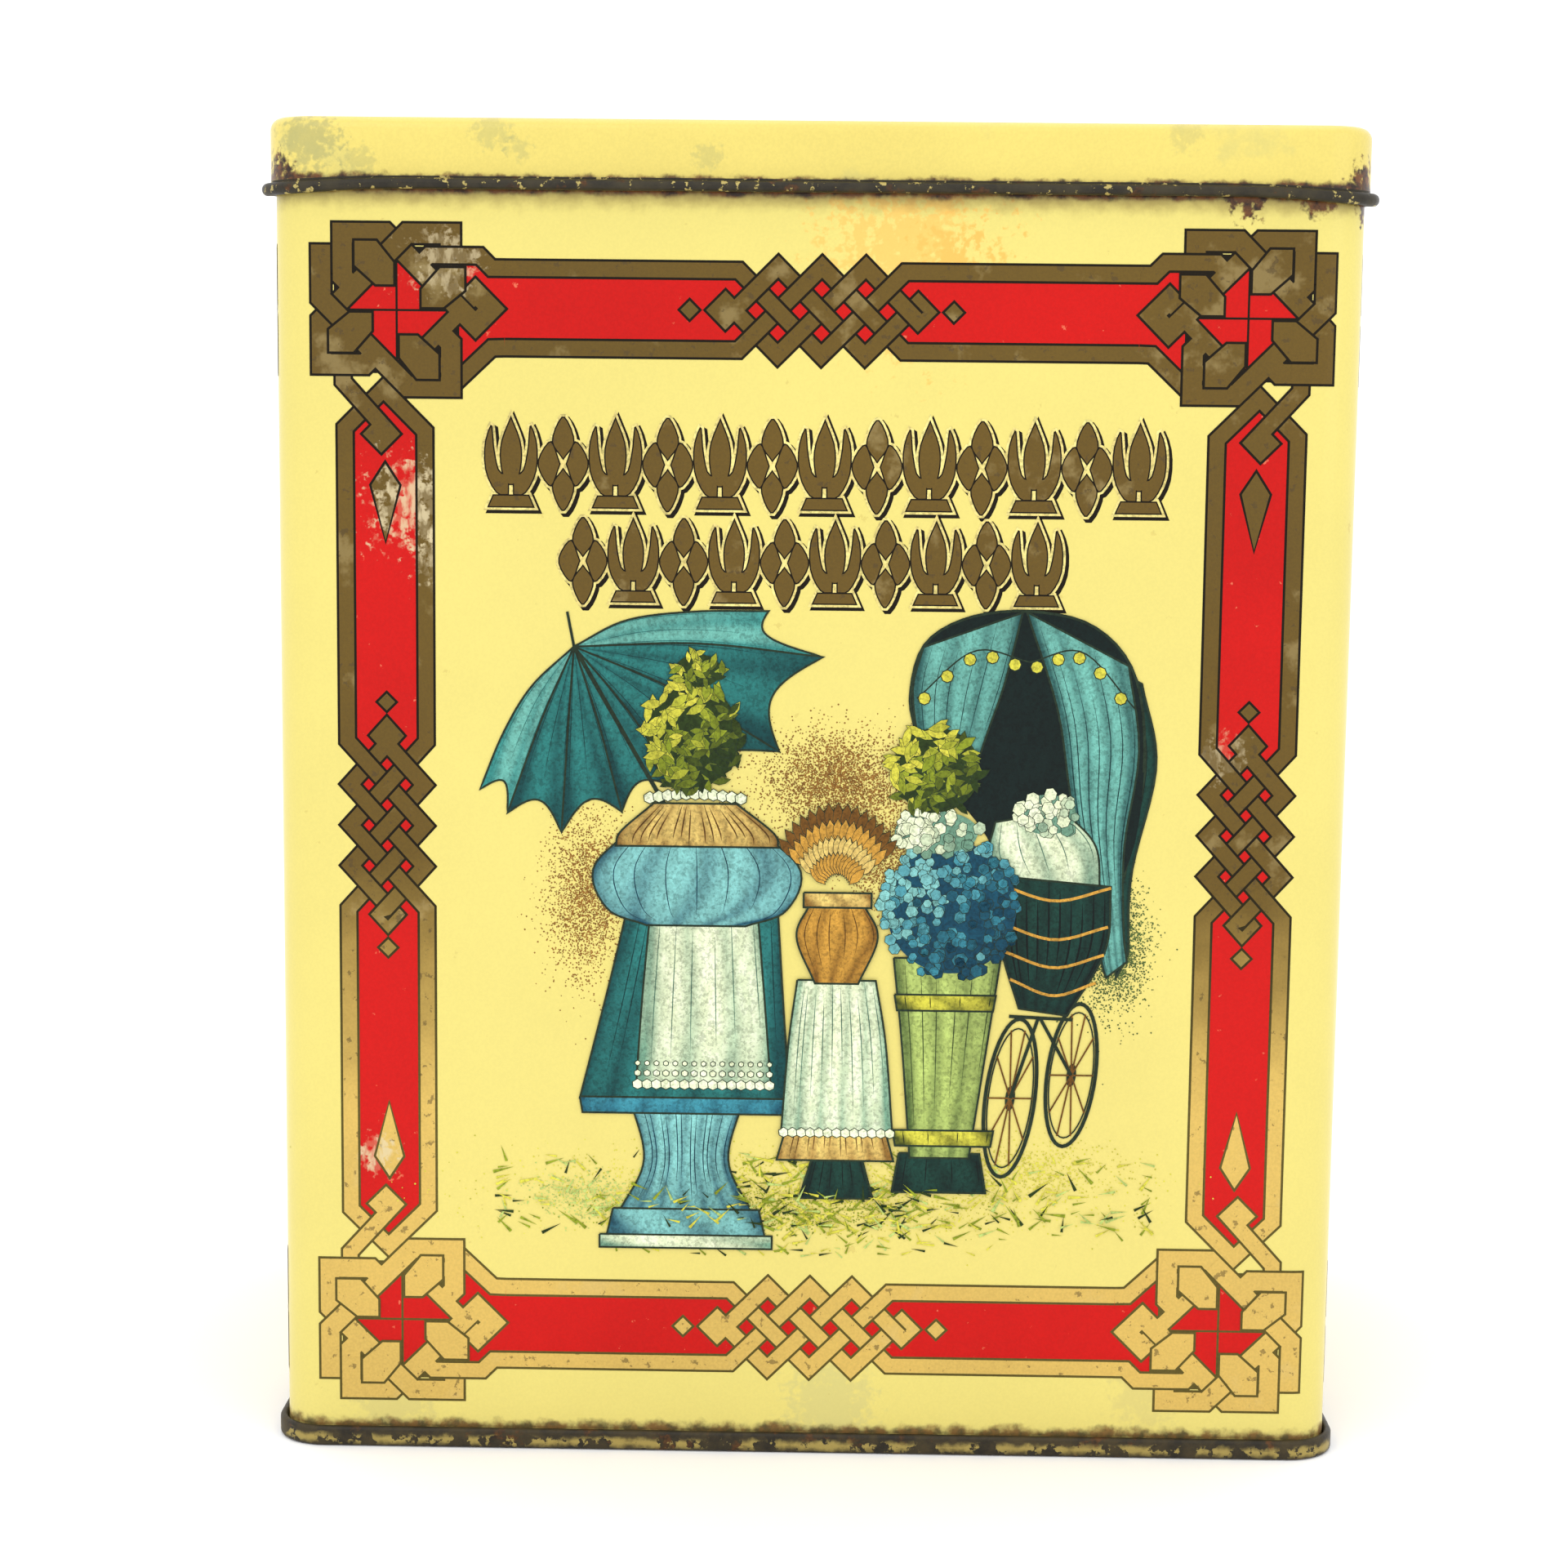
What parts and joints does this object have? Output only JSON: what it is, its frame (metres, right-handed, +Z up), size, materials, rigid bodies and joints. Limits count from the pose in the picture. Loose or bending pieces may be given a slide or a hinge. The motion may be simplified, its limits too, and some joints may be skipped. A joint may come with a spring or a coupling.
{
  "type": "slip-lid storage tin",
  "caption": "Tall rectangular storage tin of formed tinplate with rounded corners, a double-seamed bottom and a shallow slip lid that lifts straight off.",
  "frame": {"origin": "centre of the base, on the plane the tin stands on", "axes": "+Z up, the way the lid lifts; the decorated front faces -Y; +X to the right seen from the front"},
  "size_m": [0.1622, 0.1162, 0.197],
  "materials": {
    "lid_enamel": "gloss",
    "body_enamel": "gloss",
    "bare_tinplate": "oxidised and worn",
    "seam_compound": "matte",
    "solder": "dull"
  },
  "bodies": {
    "tin": {"body_wrapper": "body_enamel", "bottom_end": "bare_tinplate", "seam_compound_ring": "seam_compound", "side_seam_solder": "solder"},
    "lid": {"lid_shell": "lid_enamel"}
  },
  "joints": [
    {"name": "lid_lift", "type": "slide", "parent": "tin", "child": "lid", "axis": [0, 0, 1], "range_m": [0, 0.06]}
  ]
}
